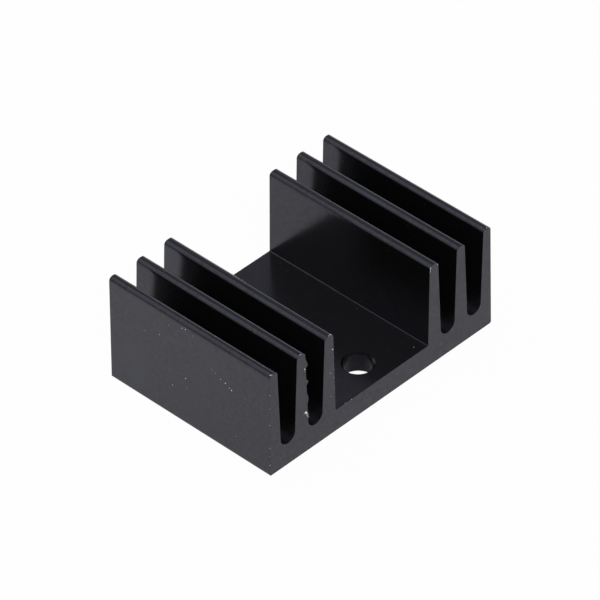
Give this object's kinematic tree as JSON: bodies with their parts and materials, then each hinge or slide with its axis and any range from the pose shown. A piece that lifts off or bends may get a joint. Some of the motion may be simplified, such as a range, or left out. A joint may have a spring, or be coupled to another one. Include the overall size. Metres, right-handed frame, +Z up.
{
  "type": "transistor heat sink",
  "caption": "Extruded black anodised comb with an open bay, upright fins on both sides and a screw hole, which cools a power transistor screwed to its floor.",
  "frame": {"origin": "middle of the flat underside", "axes": "+X across the fins, +Y along the extrusion from the end by the screw hole to the far end, +Z up from the underside to the fin tips"},
  "size_m": [0.0364, 0.025, 0.0144],
  "materials": {
    "black_anodised_aluminium": "matt black anodised, as extruded, with sawn ends"
  },
  "bodies": {
    "root": {"heat_sink": "black_anodised_aluminium"}
  },
  "joints": []
}
